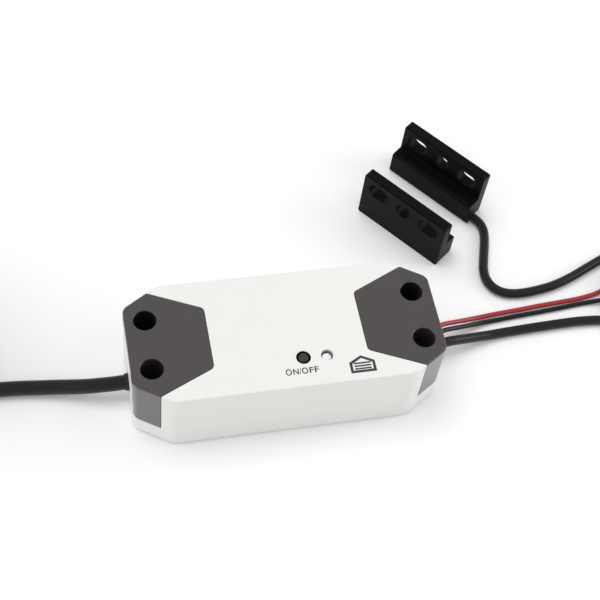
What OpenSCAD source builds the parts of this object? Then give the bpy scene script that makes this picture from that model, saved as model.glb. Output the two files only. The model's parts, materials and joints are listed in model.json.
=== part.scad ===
// Garage door controller: a small white relay box with two dark screw-down end covers,
// a USB power lead, a red and black pair for the door opener's push-button terminals,
// and a wired reed switch with its magnet. Millimetres, +Z up, origin at the centre of
// the box's underside, +X towards the end where the door wires leave.

/* [Housing] */
// Length of the white housing
case_l = 90; // [86:0.5:110]
// Width of the white housing
case_w = 38.6; // [38:0.2:48]
// Height of the closed housing
case_h = 24; // [23.6:0.1:30]
// How far each cut corner runs along the length
corner_x = 10.7; // [9.5:0.1:12]
// How far each cut corner runs across the width
corner_y = 6.7; // [6:0.1:7.4]
// Rounding where a long side meets a cut corner
side_r = 4.5; // [2.6:0.1:6]
// Rounding where an end meets a cut corner
end_r = 3; // [2.2:0.1:3.6]
// Rounding of the top edge
edge_r = 0.5; // [0.3:0.1:1.2]
// Wall of the long sides and cut corners
wall_t = 2; // [1.6:0.1:2.4]
// Wall of the two ends
end_wall_t = 1.5; // [1.2:0.05:1.6]
// Thickness of the top face
top_t = 2; // [1.6:0.1:2.4]
// Thickness of the bottom plate
base_t = 2; // [1.6:0.1:2.4]
// Wall left around the bottom plate
rim_t = 0.9; // [0.7:0.1:1.1]
// Gap around the bottom plate
base_gap = 0.15; // [0.05:0.05:0.3]

/* [End covers] */
// How far a cover reaches in from the end
cover_reach = 22.9; // [21.5:0.1:24]
// Width of a cover's inner edge
cover_nose_w = 19.66; // [17.5:0.1:21]
// How far a cover wraps back along the cut corner
cover_wrap = 7.1; // [5.6:0.1:8]
// Height of the white rim left under a cover's flaps
flap_z = 6.5; // [5:0.1:9]
// Thickness of a cover's flaps
flap_t = 1.8; // [1.4:0.1:2]
// How far a flap turns on to the end face
flap_turn = 1.4; // [0.8:0.1:1.8]
// Rounding of the cover's inner corners
nose_r = 1.5; // [0.6:0.1:2.5]
// Gap between a cover and the housing
seam = 0.15; // [0.08:0.01:0.25]
// Width of the ledge that carries a cover
ledge_w = 1.6; // [1.2:0.1:2.2]
// Thickness of that ledge
ledge_t = 1.4; // [1:0.1:2]
// Depth of the locating lip under a cover
lip_h = 2.4; // [1.6:0.1:2.8]

/* [Cover screws] */
// Bore of the screw wells
well_d = 6.5; // [6.2:0.1:6.9]
// Wall of the screw wells
well_wall = 0.8; // [0.6:0.05:0.9]
// Distance of the screw wells from the end
well_in = 5.95; // [5.9:0.05:6.4]
// Distance between the two wells of a cover
well_pitch = 16; // [15.4:0.1:16.6]
// Floor of the wells, under the screw heads
well_floor = 1.5; // [1.2:0.1:2]
// Screw head diameter
head_d = 5.4; // [4.6:0.1:5.8]
// Screw head height
head_h = 1.9; // [1.5:0.1:2.4]
// Screw shank diameter
shank_d = 2.5; // [2.2:0.1:2.9]
// Screw length under the head
shank_l = 9; // [8:0.1:9.4]
// Diameter of the screw posts on the bottom plate
post_d = 6.6; // [5.8:0.1:7]
// Radial room of a shank in its pilot hole
pilot_gap = 0.05; // [0.02:0.01:0.09]

/* [Cable entries] */
// Height of the power lead and the sensor cord where they leave
cord_z = 6.5; // [6.2:0.1:7]
// Height of the two thin wires where they leave
wire_z = 7.4; // [7:0.1:7.6]
// Diameter of the power lead
power_d = 4.4; // [4:0.1:4.6]
// Diameter of the sensor cord
sensor_cord_d = 3; // [2.6:0.1:3.2]
// Diameter of the red and the black wire
wire_d = 1.5; // [1.2:0.1:1.8]
// Width of the cable clamps
clamp_w = 4.6; // [4:0.1:5.4]
// Thickness of the cable clamps
clamp_t = 2.2; // [1.9:0.1:2.6]
// Flange of the long grommet outside the wall
flange_t = 0.7; // [0.5:0.05:1]
// Flange of the grommets inside the wall
inner_flange_t = 0.5; // [0.4:0.05:0.6]
// How far a grommet's flange reaches past its hole
flange_w = 0.6; // [0.4:0.05:0.8]
// Rubber around the cords in their holes
rubber_t = 0.9; // [0.8:0.1:1.1]
// How far the collar of the power lead's grommet stands out
collar_l = 1.1; // [0.8:0.1:1.4]
// Rubber of that collar around the power lead
collar_t = 0.35; // [0.25:0.05:0.5]

/* [Button and light] */
// Button place along the length
button_x = 3.3; // [0:0.1:5]
// Button place across the width
button_y = -9.9; // [-11:0.1:-6.5]
// Hole for the button
button_hole_d = 4.1; // [3.9:0.05:4.6]
// Diameter of the button
button_d = 3.3; // [2.8:0.05:3.6]
// How far the button can be pushed
button_travel = 0.5; // [0.3:0.05:0.8]
// How far the button's end lies under the top face
button_sunk = 0.4; // [0.1:0.05:1]
// Light pipe place along the length
light_x = 10.1; // [9:0.1:13]
// Light pipe place across the width
light_y = -10; // [-11:0.1:-6.5]
// Hole for the light pipe
light_hole_d = 3.4; // [3:0.05:3.8]
// How far the light pipe's end lies under the top face
light_sunk = 1.2; // [0.8:0.05:1.5]

/* [Circuit board] */
// Thickness of the circuit board
board_t = 1.6; // [1:0.1:1.8]
// Height of the board above the bottom plate
board_lift = 2.2; // [1.8:0.1:2.4]
// Gap between the board and the long walls
board_gap = 0.6; // [0.4:0.05:0.8]
// Gap between the board and the screw posts
board_end_gap = 0.6; // [0.4:0.05:1]
// Distance of the board's pegs from its ends
peg_in = 4.4; // [3.6:0.1:6]
// Distance of the board's pegs from its sides
peg_side = 2.6; // [2.2:0.1:3]
// Diameter of the board's pegs
peg_d = 1.9; // [1.6:0.1:2.2]
// Gap between the relay and the power terminal, as a share of the board left free in line
relay_share = 0.312; // [0.25:0.002:0.36]
// Distance of the relay from the board's rear side
relay_side = 2.6; // [2.4:0.1:3.4]
// Relay length
relay_l = 19; // [18.6:0.1:20]
// Relay width
relay_w = 15.4; // [14.8:0.1:16]
// Gap between the relay and the top face
relay_room = 1; // [0.6:0.1:1.3]
// Length of the wireless board
radio_l = 16; // [15:0.5:17]
// Width of the wireless board
radio_w = 12; // [11:0.5:13]
// Gap between the wireless board and the wire terminal, as a share of the same length
radio_share = 0.274; // [0.2:0.002:0.34]
// Distance of the wireless board from the board's rear side
radio_side = 4.1; // [3.6:0.1:5]

/* [Terminals] */
// Distance between two terminals
pole_pitch = 3.5; // [3.3:0.05:3.81]
// Depth of a terminal block
terminal_d = 7.6; // [7:0.1:8]
// Height of a terminal block
terminal_h = 9.6; // [9:0.1:10.4]
// Height of the wire entries above the board
entry_z = 2.3; // [2.2:0.1:2.6]
// Gap between a terminal block and the board's end
terminal_in = 3.4; // [2.4:0.1:3.8]

/* [Reed switch and magnet] */
// Length of the switch and of the magnet
pair_l = 32; // [28:0.5:40]
// Height of both
pair_h = 18.4; // [17:0.2:24]
// Depth of both from the flat back to the block's face
pair_d = 8; // [7:0.1:10]
// Thickness of the drilled flange
pair_flange_t = 3.7; // [2.6:0.1:4]
// Height of the block
pair_block_h = 8.4; // [7.6:0.1:9.4]
// Chamfer along the block's front edge
pair_edge = 0.7; // [0.3:0.1:1.2]
// Rounding of the flange's upper corners
pair_r = 0.7; // [0.5:0.1:1.5]
// Diameter of the fixing holes
fix_d = 5.2; // [4.2:0.1:5.6]
// Extra length of the two outer, slotted holes
slot_extra = 2.2; // [1:0.1:2.6]
// Distance between the fixing holes
fix_pitch = 9.8; // [9:0.1:11]
// Distance of the fixing holes from the top edge
fix_down = 4.7; // [3.8:0.1:5]
// Diameter of the reed switch's glass
reed_d = 2.2; // [1.8:0.1:2.4]
// Length of the reed switch's glass
reed_l = 14; // [12:0.5:16]
// Place of the switch along the length of the housing
switch_x = 67; // [66:0.5:72]
// Place of the switch behind the housing's middle line
switch_y = 64.5; // [64:0.5:70]
// Direction of both pieces, seen from above
pair_turn = -51; // [-53:0.5:-49]
// Distance between the two flat backs
pair_apart = 28.5; // [24:0.5:32]
// How far the magnet lies out of line with the switch
pair_shift = 3; // [0:0.5:4]

/* [USB plug] */
// Length of the metal shell
plug_shell_l = 12; // [11.75:0.05:12.5]
// Width of the metal shell
plug_shell_w = 12; // [12:0.1:12.4]
// Thickness of the metal shell
plug_shell_h = 4.5; // [4.5:0.1:4.8]
// Length of the moulded grip
plug_grip_l = 19; // [16:0.5:24]
// Width of the moulded grip
plug_grip_w = 15.6; // [14.6:0.1:17]
// Thickness of the moulded grip
plug_grip_h = 7.6; // [7:0.1:9]

/* [Hidden] */
$fn = 48;
// How far a cut passes through a face, and how far joined shapes sink into each other
cut = 1;
// Rest gap between pieces that only lie on each other
rest = 0.05;
// Working gap between pieces that fit inside each other
fit = 0.1;
// Chamfer around the mouths of the wells and of the holes in the top
mouth = 0.2;

// Colours
white = [0.93, 0.93, 0.91];
dark = [0.33, 0.31, 0.31];
black = [0.06, 0.06, 0.07];
steel = [0.72, 0.73, 0.75];
brass = [0.80, 0.66, 0.34];
green = [0.10, 0.34, 0.18];
copper = [0.72, 0.42, 0.22];

// Heights in the stack
board_z = base_t + board_lift;
deck_z = board_z + board_t;
post_z = cord_z + 0.9;
clamp_z = post_z + clamp_t;
seat_z = clamp_z + rest + well_floor;
lid_z = case_h - top_t;

// Places of the screw wells and of the circuit board's end
well_x = case_l / 2 - well_in;
well_y = well_pitch / 2;
board_x = well_x - post_d / 2 - board_end_gap;
board_y = case_w / 2 - wall_t - board_gap;
terminal_x = board_x - terminal_in;

// Inner face of the terminal blocks, and what the relay and the wireless board leave free
// between them
block_x = terminal_x - terminal_d;
free_l = 2 * block_x - relay_l - radio_l;
relay_x = relay_share * free_l + relay_l / 2 - block_x;
relay_y = board_y - relay_side - relay_w / 2;
radio_x = block_x - radio_share * free_l - radio_l / 2;
radio_y = board_y - radio_side - radio_w / 2;

// Places of the cables across the width, where they pass the wall and the clamp
power_y = -1.2;
sensor_y = -1;
black_y = 1.9;
red_y = 3.9;

// Where a jacket ends inside the housing, and how deep a wire reaches into its terminal
jacket_x = well_x - clamp_w / 2 - 0.4;
wire_in = 3.8;
// Slit left between a clamp and its saddle, so that it grips the cables
squeeze = 0.2;

// Height of the relay, and of the pole face of its coil above the board
relay_h = lid_z - deck_z - relay_room;
pole_z = relay_h - 4.3;

// Reed switch and magnet in their own frame: length along X, flat back at Y = 0
pair_hole_z = pair_h - fix_down;
cord_out_y = -pair_d + 2.6;
cord_out_z = sensor_cord_d / 2;
boot_d = sensor_cord_d + 1.2;

// Outline of the housing from above, anticlockwise from the right end's front corner
half_l = case_l / 2;
half_w = case_w / 2;
outline = [
    [half_l, corner_y - half_w], [half_l, half_w - corner_y],
    [half_l - corner_x, half_w], [corner_x - half_l, half_w],
    [-half_l, half_w - corner_y], [-half_l, corner_y - half_w],
    [corner_x - half_l, -half_w], [half_l - corner_x, -half_w],
];

// Outline of the right cover, running out past the housing's end
wrap_y = half_w - corner_y + cover_wrap * corner_y / corner_x;
run = (wrap_y - cover_nose_w / 2) / (cover_reach - cover_wrap);
past_x = half_l + 6;
past_y = cover_nose_w / 2 + (cover_reach + 6) * run;
cover_outline = [
    [half_l - cover_reach, -cover_nose_w / 2], [past_x, -past_y],
    [past_x, past_y], [half_l - cover_reach, cover_nose_w / 2],
];
flap_in = half_w - corner_y - flap_turn;

// Free cords. Each list is the route of a cord's middle where it isn't coiled
power_route = [
    [-36.4, -1.2, 6.5], [-41, -1.2, 6.5], [-45.8, -1.2, 6.5], [-49, -1.2, 6.35],
    [-52.5, -0.9, 5.9], [-56, -0.4, 5.2], [-60, 0.5, 4.2], [-65, 1.7, 3.1], [-71, 2.7, 2.4],
    [-77, 3.4, 2.2], [-84, 3.7, 2.2], [-91, 3.1, 2.2], [-98.5, 0.8, 2.2], [-105.6, -3.2, 2.2],
];
power_end_route = [
    [-139.6, 18.9, 15.4], [-139.8, 24, 15.3], [-139.9, 29, 14.6], [-139.9, 34, 12.6],
    [-139.8, 39, 9.4], [-139.6, 43.5, 6.6], [-139.4, 48, 4.5], [-139.4, 52, 3.8],
];
sensor_out_route = [
    [36.4, -1, 6.5], [41, -1, 6.5], [45.8, -1, 6.5], [49, -0.5, 6.3], [53, 0.3, 5.6],
    [57, 1.1, 4.4], [62, 2.1, 3], [67, 2.9, 1.9], [73, 3.5, 1.5], [81, 3.9, 1.5],
    [89, 4.2, 1.5], [97, 4.3, 1.5], [105, 3.6, 1.5], [113, 1.6, 1.5], [121, -0.4, 1.5],
    [130, -2.2, 1.5], [138, -4.4, 1.5], [146.1, -7.6, 1.5],
];
sensor_back_route = [
    [71.3, 50.6, 1.5], [72.9, 48.6, 1.5], [74.3, 46.8, 1.5], [75.3, 44.6, 1.5],
    [75.5, 41.8, 1.5], [74.8, 38.4, 1.5], [73.7, 34.8, 1.5], [72.5, 31, 1.5],
    [71.5, 27.4, 1.5], [71.3, 23.6, 1.5], [72.7, 20.2, 1.5], [75.6, 17.9, 1.5],
    [79.6, 17, 1.5], [85, 17.2, 1.5], [92, 18.4, 1.5], [99, 20.8, 1.5], [106, 24, 1.5],
    [113, 27, 1.5], [121, 29.2, 1.7], [128, 30.6, 3.2], [134, 31.6, 6.2],
    [140, 32.6, 9.2], [146.5, 33, 10.5],
];
red_route = [
    [28, 5.25, 8.1], [31.8, 5.25, 8.1], [33.2, 4.9, 7.9], [34.8, 4.3, 7.6], [36.6, 3.9, 7.4],
    [41, 3.9, 7.4], [45.8, 3.9, 7.4], [48.6, 4.7, 7.1], [52, 6.1, 6.2], [56, 7.4, 4.5],
    [61, 8.9, 2.5], [66, 10.1, 1.2], [72, 10.9, 0.8], [79, 11.4, 0.8], [86, 12, 0.8],
    [93, 12.5, 0.8], [100, 13.1, 0.8], [106.6, 14.5, 0.8], [112.1, 17.3, 0.8],
];
black_route = [
    [28, 1.75, 8.1], [31.8, 1.75, 8.1], [33.4, 1.8, 7.9], [35, 1.9, 7.6], [36.6, 1.9, 7.4],
    [41, 1.9, 7.4], [45.8, 1.9, 7.4], [48.6, 2.6, 7.1], [52, 4, 6.2], [56, 5.3, 4.5],
    [61, 6.8, 2.5], [66, 8, 1.2], [72, 8.7, 0.8], [79, 9.3, 0.8], [86, 9.8, 0.8],
    [93, 10.4, 0.8], [99, 11, 0.8], [104, 11.1, 1.2], [107.8, 10.6, 2.6], [110.4, 9.6, 3.7],
    [112.9, 7.7, 3.9],
];

// Unit vector along v, and v turned a quarter left
function unit(v) = v / norm(v);
function left(v) = [-v.y, v.x];

// Polygon p with each side moved in by its own distance in the list d
function inset(p, d) = [for (i = [0 : len(p) - 1])
    let (last = (i + len(p) - 1) % len(p), next = (i + 1) % len(p),
         m = left(unit(p[i] - p[last])), n = left(unit(p[next] - p[i])), c = m * n)
    p[i] + (d[last] * (m - c * n) + d[i] * (n - c * m)) / (1 - c * c)];

// The same distance for every side of p
function same(p, d) = [for (q = p) d];

// Convex polygon p with its corners rounded to the radii in r, as steps + 1 points each
function rounded(p, r, steps = 5) = [for (i = [0 : len(p) - 1])
    let (last = (i + len(p) - 1) % len(p), next = (i + 1) % len(p),
         m = left(unit(p[i] - p[last])), n = left(unit(p[next] - p[i])), c = m * n,
         middle = p[i] + (m + n) * r[i] / (1 + c), first = atan2(-m.y, -m.x))
    for (k = [0 : steps]) middle + r[i] * [cos(first + acos(c) * k / steps),
                                           sin(first + acos(c) * k / steps)]];

// Rectangle from one corner to the opposite one
function box_points(a, b) = [[a.x, a.y], [b.x, a.y], [b.x, b.y], [a.x, b.y]];

// The housing's outline moved in, with an own distance for the two ends
function case_points(side, end) =
    rounded(inset(outline, [end, side, side, side, end, side, side, side]),
            [for (i = [0 : 7]) let (r = (i == 0 || i == 1 || i == 4 || i == 5) ? end_r : side_r)
                max(0.3, r - max(side, end))]);

// Solid through a stack of rings, each a list of points in one plane
module loft(rings) {
    n = len(rings[0]);
    top = (len(rings) - 1) * n;
    polyhedron(points = [for (ring = rings) each ring], faces = concat(
        [[for (i = [0 : n - 1]) i]],
        [for (j = [0 : len(rings) - 2], i = [0 : n - 1])
            [j * n + i, (j + 1) * n + i, (j + 1) * n + (i + 1) % n, j * n + (i + 1) % n]],
        [[for (i = [n - 1 : -1 : 0]) top + i]]));
}

// Point on a smooth curve through p, at place t counted in points
function along(p, t) = let (last = len(p) - 1, i = min(floor(t), last - 1), f = t - i,
    a = p[max(0, i - 1)], b = p[i], c = p[i + 1], d = p[min(last, i + 2)])
    0.5 * (2 * b + (c - a) * f + (2 * a - 5 * b + 4 * c - d) * f * f
           + (3 * b - a - 3 * c + d) * f * f * f);
function heading(p, t) = unit(along(p, min(len(p) - 1, t + 0.02)) - along(p, max(0, t - 0.02)));

// Round cord of diameter d along the route p, with a ring at every point of it
module cord(p, d, sides = 8) {
    rings = [for (i = [0 : len(p) - 1])
        let (go = heading(p, i), side = unit(cross(go, [0, 0, 1])), up = cross(side, go))
        [for (k = [0 : sides - 1]) p[i]
            + d / 2 * (cos(360 * (k + 0.5) / sides) * side
                       + sin(360 * (k + 0.5) / sides) * up)]];
    n = sides;
    top = (len(p) - 1) * n;
    polyhedron(points = [for (ring = rings) each ring], faces = concat(
        [[for (i = [n - 1 : -1 : 0]) i]],
        [for (j = [0 : len(p) - 2], i = [0 : n - 1])
            [j * n + i, j * n + (i + 1) % n, (j + 1) * n + (i + 1) % n, (j + 1) * n + i]],
        [[for (i = [0 : n - 1]) top + i]]));
}

// Outer shape of a round coil that lies flat: mid diameter, width across and height
module coil(mid_d, across, high, round_r) {
    rotate_extrude($fn = 72) polygon(rounded(
        box_points([(mid_d - across) / 2, 0], [(mid_d + across) / 2, high]),
        [round_r, round_r, round_r, round_r], 3));
}

// Plain block between two corners
module block(a, b) {
    translate(a) cube(b - a);
}

// Does the same at both ends of the housing
module both_ends() {
    for (turn = [0, 180]) rotate([0, 0, turn]) children();
}

// Does the same at both screws of the right cover
module both_screws() {
    for (side = [-1, 1]) translate([well_x, side * well_y, 0]) children();
}

// Does the same at the four pegs of the circuit board
module at_pegs() {
    for (sx = [-1, 1], sy = [-1, 1])
        translate([sx * (board_x - peg_in), sy * (board_y - peg_side), 0]) children();
}

// Whole outer form of the closed housing, with its softly rounded top edge
module case_body() {
    steps = 4;
    loft(concat(
        [[for (q = case_points(0, 0)) [q.x, q.y, 0]]],
        [for (k = [0 : steps]) let (a = 90 * k / steps, d = edge_r * (1 - cos(a)))
            [for (q = case_points(d, d)) [q.x, q.y, case_h - edge_r * (1 - sin(a))]]]));
}

// Upright prism of the right cover's outline, moved in by d
module cover_prism(d, low, high) {
    r = max(0.3, nose_r - d);
    translate([0, 0, low]) linear_extrude(high - low)
        polygon(rounded(inset(cover_outline, same(cover_outline, d)), [r, 0.3, 0.3, r]));
}

// Upright prism of the housing's inside, moved in further by d
module inner_prism(d, low, high) {
    translate([0, 0, low]) linear_extrude(high - low)
        polygon(case_points(wall_t + d, end_wall_t + d));
}

// The space that the right cover takes out of the housing
module cover_space() {
    cover_prism(-seam, lid_z, case_h + cut);
    cover_prism(ledge_w, lid_z - ledge_t - cut, case_h);
    intersection() {
        cover_prism(-seam, flap_z - seam, case_h + cut);
        for (side = [-1, 1])
            block([half_l - cover_reach, side > 0 ? flap_in - seam : -half_w - cut, 0],
                  [half_l + cut, side > 0 ? half_w + cut : seam - flap_in, case_h + cut]);
    }
}

hook_x = 14;
hook_w = 5;
hook_t = 1.2;
hook_top = 9.4;
hook_nub = 0.6;

module main_shell() {
    color(white) difference() {
        union() {
            difference() {
                case_body();
                inner_prism(0, -cut, lid_z);
            }
            // Ledges that carry the covers
            both_ends() intersection() {
                cover_prism(-1.2, lid_z - ledge_t, lid_z + top_t / 2);
                inner_prism(-0.5, lid_z - ledge_t, case_h);
            }
            // Collars that guide the button and hold the light pipe
            for (p = [[button_x, button_y, button_hole_d], [light_x, light_y, light_hole_d]])
                translate([p[0], p[1], lid_z - 1.6]) cylinder(h = 1.6 + top_t / 2, d = p[2] + 1.8);
            // Stiffening ribs under the top
            for (x = [-4.5, 17.5]) block([x, -board_y + 0.4, lid_z - 1.2], [x + 1, -5, lid_z + 0.5]);
        }
        // Recess for the bottom plate
        translate([0, 0, -cut]) linear_extrude(base_t + cut) polygon(case_points(rim_t, rim_t));
        both_ends() cover_space();
        // Windows in the long walls for the bottom plate's hooks
        for (x = [-hook_x, hook_x], side = [-1, 1])
            translate([x, side * (half_w - wall_t), hook_top - 2])
                cube([hook_w + 0.6, 2 * (hook_nub + 0.3), 2.4], center = true);
        translate([button_x, button_y, 0]) cylinder(h = case_h + cut, d = button_hole_d);
        translate([button_x, button_y, case_h - mouth])
            cylinder(h = cut, d1 = button_hole_d, d2 = button_hole_d + 2 * cut);
        translate([light_x, light_y, 0]) cylinder(h = case_h + cut, d = light_hole_d);
        translate([light_x, light_y, case_h - mouth])
            cylinder(h = cut, d1 = light_hole_d, d2 = light_hole_d + 2 * cut);
        // Holes in the end walls for the grommets
        translate([-half_l, power_y, cord_z]) rotate([0, 90, 0])
            cylinder(h = 6, d = power_d + 2 * rubber_t, center = true);
        wire_slot(0, 6, half_l - 3);
    }
}

// Slot around the three right-hand cords, grown by d, from x over a length t
module wire_slot(d, t, x) {
    r = sensor_cord_d / 2 + rubber_t;
    translate([x, 0, cord_z]) rotate([90, 0, 90]) linear_extrude(t) {
        translate([sensor_y, 0]) circle(r + d);
        translate([red_y - wire_d / 4, 0]) circle(r + d);
        translate([sensor_y, -r - d]) square([red_y - wire_d / 4 - sensor_y, 2 * (r + d)]);
    }
}

module base_plate() {
    color(white) difference() {
        union() {
            linear_extrude(base_t - rest) polygon(case_points(rim_t + base_gap, rim_t + base_gap));
            // Screw posts, and the cable saddles between them
            both_ends() both_screws() cylinder(h = post_z, d = post_d);
            both_ends() block([well_x - clamp_w / 2, -well_y, base_t - cut],
                              [well_x + clamp_w / 2, well_y, post_z - squeeze]);
            // Pillars and pegs for the circuit board
            at_pegs() {
                cylinder(h = board_z - rest, d = 2.2 * peg_d);
                cylinder(h = deck_z + 0.5, d = peg_d);
            }
            // Snap hooks on the long sides
            for (x = [-hook_x, hook_x], side = [0, 180]) rotate([0, 0, side])
                translate([x, half_w - wall_t - fit, 0]) rotate([90, 0, -90])
                    linear_extrude(hook_w, center = true) polygon([
                        [0, base_t - cut], [hook_t, base_t - cut], [hook_t, hook_top],
                        [0.4, hook_top], [-hook_nub, hook_top - 1.6],
                        [-hook_nub, hook_top - 2.1], [0, hook_top - 2.7]]);
            // Stiffening ribs
            for (y = [-6, 6]) block([-24, y - 0.5, base_t - cut], [24, y + 0.5, board_z - 0.9]);
        }
        both_ends() both_screws() translate([0, 0, base_t])
            cylinder(h = post_z, d = shank_d + 2 * pilot_gap);
        // Grooves in the saddles
        translate([-well_x, power_y, cord_z]) rotate([0, 90, 0])
            cylinder(h = 8, d = power_d, center = true);
        translate([well_x, sensor_y, cord_z]) rotate([0, 90, 0])
            cylinder(h = 8, d = sensor_cord_d, center = true);
        for (y = [black_y, red_y])
            translate([well_x, y, wire_z]) rotate([0, 90, 0])
                cylinder(h = 8, d = wire_d, center = true);
    }
}

// The right cover: hexagonal plate, two flaps and two screw wells
module cover() {
    inside = wall_t + 2 * seam;
    difference() {
        union() {
            intersection() {
                case_body();
                cover_prism(0, lid_z + rest, case_h + cut);
            }
            // Flaps over the cut corners
            difference() {
                intersection() {
                    case_body();
                    cover_prism(0, flap_z, case_h);
                }
                block([0, -flap_in, 0], [half_l + cut, flap_in, lid_z + cut]);
                translate([0, 0, -cut]) linear_extrude(lid_z + 1.5 * cut)
                    polygon(case_points(flap_t, flap_t));
            }
            // Wells and the web between them
            both_screws() translate([0, 0, clamp_z + rest])
                cylinder(h = lid_z + top_t / 2 - clamp_z - rest, d = well_d + 2 * well_wall);
            block([well_x - 0.6, -well_y, lid_z - 3], [well_x + 0.6, well_y, lid_z + cut]);
            // Locating lip inside the housing's opening
            intersection() {
                difference() {
                    cover_prism(ledge_w + seam, lid_z - lip_h, lid_z + cut);
                    cover_prism(ledge_w + seam + 1.1, lid_z - lip_h - cut, lid_z + 2 * cut);
                }
                block([half_l - cover_reach, -half_w, 0], [well_x, half_w, case_h]);
                inner_prism(seam, 0, case_h);
            }
        }
        both_screws() {
            translate([0, 0, seat_z]) cylinder(h = case_h, d = well_d);
            translate([0, 0, case_h - mouth])
                cylinder(h = cut, d1 = well_d, d2 = well_d + 2 * cut);
            cylinder(h = case_h, d = shank_d + 0.6);
        }
    }
}

module left_cover() {
    color(dark) rotate([0, 0, 180]) cover();
}

module right_cover() {
    color(dark) cover();
}

// Two pan-head screws of a cover
module screws() {
    both_screws() translate([0, 0, seat_z + rest / 2]) difference() {
        union() {
            rotate_extrude() polygon([[0, 0], [head_d / 2, 0], [head_d / 2, head_h * 0.45],
                                      [head_d * 0.38, head_h * 0.85], [0, head_h]]);
            translate([0, 0, -shank_l + 1]) cylinder(h = shank_l - 1, d = shank_d);
            translate([0, 0, -shank_l]) cylinder(h = 1, d1 = 0.8, d2 = shank_d, $fn = 24);
        }
        // Cross recess
        for (turn = [0, 90]) rotate([0, 0, turn]) translate([-1.5, -0.3, head_h - 1.2])
            cube([3, 0.6, 2]);
    }
}

module left_cover_screws() {
    color(steel) rotate([0, 0, 180]) screws();
}

module right_cover_screws() {
    color(steel) screws();
}

// Bar across a cable entry, held down by the cover screws
module clamp(grooves) {
    difference() {
        translate([0, 0, post_z + rest]) linear_extrude(clamp_t - rest) {
            both_screws() circle(d = post_d);
            translate([well_x - clamp_w / 2, -well_y]) square([clamp_w, well_pitch]);
        }
        both_screws() cylinder(h = case_h, d = shank_d + 0.6);
        for (g = grooves) translate([well_x, g[0], g[1]]) rotate([0, 90, 0])
            cylinder(h = post_d + cut, d = g[2], center = true);
    }
}

module left_cable_clamp() {
    color(black) rotate([0, 0, 180]) clamp([[-power_y, cord_z, power_d]]);
}

module right_cable_clamp() {
    color(black) clamp([[sensor_y, cord_z, sensor_cord_d], [black_y, wire_z, wire_d],
                        [red_y, wire_z, wire_d]]);
}

module power_grommet() {
    hole = power_d + 2 * rubber_t;
    collar = power_d / 2 + collar_t;
    color(black) translate([-half_l, power_y, cord_z]) rotate([0, 90, 0]) difference() {
        rotate_extrude() polygon([
            [0, -collar_l], [collar - 0.2, -collar_l], [collar, 0.2 - collar_l], [collar, 0],
            [hole / 2 - rest, 0], [hole / 2 - rest, end_wall_t + rest / 2],
            [hole / 2 + flange_w, end_wall_t + rest / 2],
            [hole / 2 + flange_w, end_wall_t + inner_flange_t], [0, end_wall_t + inner_flange_t]]);
        cylinder(h = 8, d = power_d + 2 * rest, center = true);
    }
}

module wire_grommet() {
    color(black) difference() {
        union() {
            wire_slot(-rest, end_wall_t + inner_flange_t + flange_t,
                      half_l - end_wall_t - inner_flange_t);
            wire_slot(flange_w, flange_t - rest / 2, half_l + rest / 2);
            wire_slot(flange_w, inner_flange_t - rest / 2,
                      half_l - end_wall_t - inner_flange_t);
        }
        translate([half_l, sensor_y, cord_z]) rotate([0, 90, 0])
            cylinder(h = 8, d = sensor_cord_d + 2 * rest, center = true);
        for (y = [black_y, red_y]) translate([half_l, y, wire_z]) rotate([0, 90, 0])
            cylinder(h = 8, d = wire_d + 2 * rest, center = true);
    }
}

// Push-button switch: moulded base, steel frame, snap dome and long plunger
tact_w = 6;
tact_h = 3.6;
foot_d = 4.4;
foot_h = 0.8;
foot_z = deck_z + tact_h - 0.4 - foot_h - rest;

module tact_switch() {
    color(black) translate([button_x, button_y, deck_z]) difference() {
        translate([-tact_w / 2, -tact_w / 2, 0]) cube([tact_w, tact_w, tact_h - 0.4]);
        translate([0, 0, 0.8]) cylinder(h = tact_h, d = foot_d + 2 * fit);
    }
}

module tact_frame() {
    color(steel) translate([button_x, button_y, deck_z]) difference() {
        union() {
            translate([-tact_w / 2, -tact_w / 2, tact_h - 0.4 + rest / 2])
                cube([tact_w, tact_w, 0.3]);
            for (side = [-1, 1]) translate([-1.5, side * (tact_w / 2 + 0.2) - 0.15, 0.2])
                cube([3, 0.3, tact_h - 0.3]);
            for (side = [-1, 1]) translate([-1.5, side * (tact_w / 2 + 0.1) - 0.25, tact_h - 0.35])
                cube([3, 0.5, 0.25]);
        }
        cylinder(h = 2 * tact_h, d = button_d + 2 * fit);
    }
}

module tact_dome() {
    color(steel) translate([button_x, button_y, deck_z + 0.8 + rest])
        rotate_extrude() polygon([[0, 0.25], [1, 0.22], [2, 0], [2, 0.12], [1, 0.34], [0, 0.37]]);
}

module button_plunger() {
    top_z = case_h - button_sunk;
    color(black) translate([button_x, button_y, 0]) rotate_extrude() polygon([
        [0, foot_z], [foot_d / 2, foot_z], [foot_d / 2, foot_z + foot_h],
        [button_d / 2, foot_z + foot_h], [button_d / 2, top_z - 0.4],
        [button_d / 2 - 0.4, top_z], [0, top_z]]);
}

module light_pipe() {
    d = light_hole_d - 2 * rest;
    top_z = case_h - light_sunk;
    color([0.9, 0.92, 0.95]) translate([light_x, light_y, 0]) rotate_extrude() polygon([
        [0, deck_z + 2.1], [d / 2 - 0.3, deck_z + 2.1], [d / 2, deck_z + 5],
        [d / 2, lid_z - 3], [d / 2 + 1, lid_z - 3], [d / 2 + 1, lid_z - 1.6 - rest],
        [d / 2, lid_z - 1.6 - rest], [d / 2, top_z - 0.5], [d / 2 - 0.35, top_z - 0.15],
        [d / 2 - 0.9, top_z], [0, top_z]]);
}

module status_led() {
    color([0.95, 0.9, 0.6]) translate([light_x, light_y, deck_z]) difference() {
        translate([-1.6, -1.4, rest]) cube([3.2, 2.8, 1.8]);
        translate([0, 0, 1.2]) cylinder(h = 1, d1 = 1.8, d2 = 2.6);
    }
}

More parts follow.
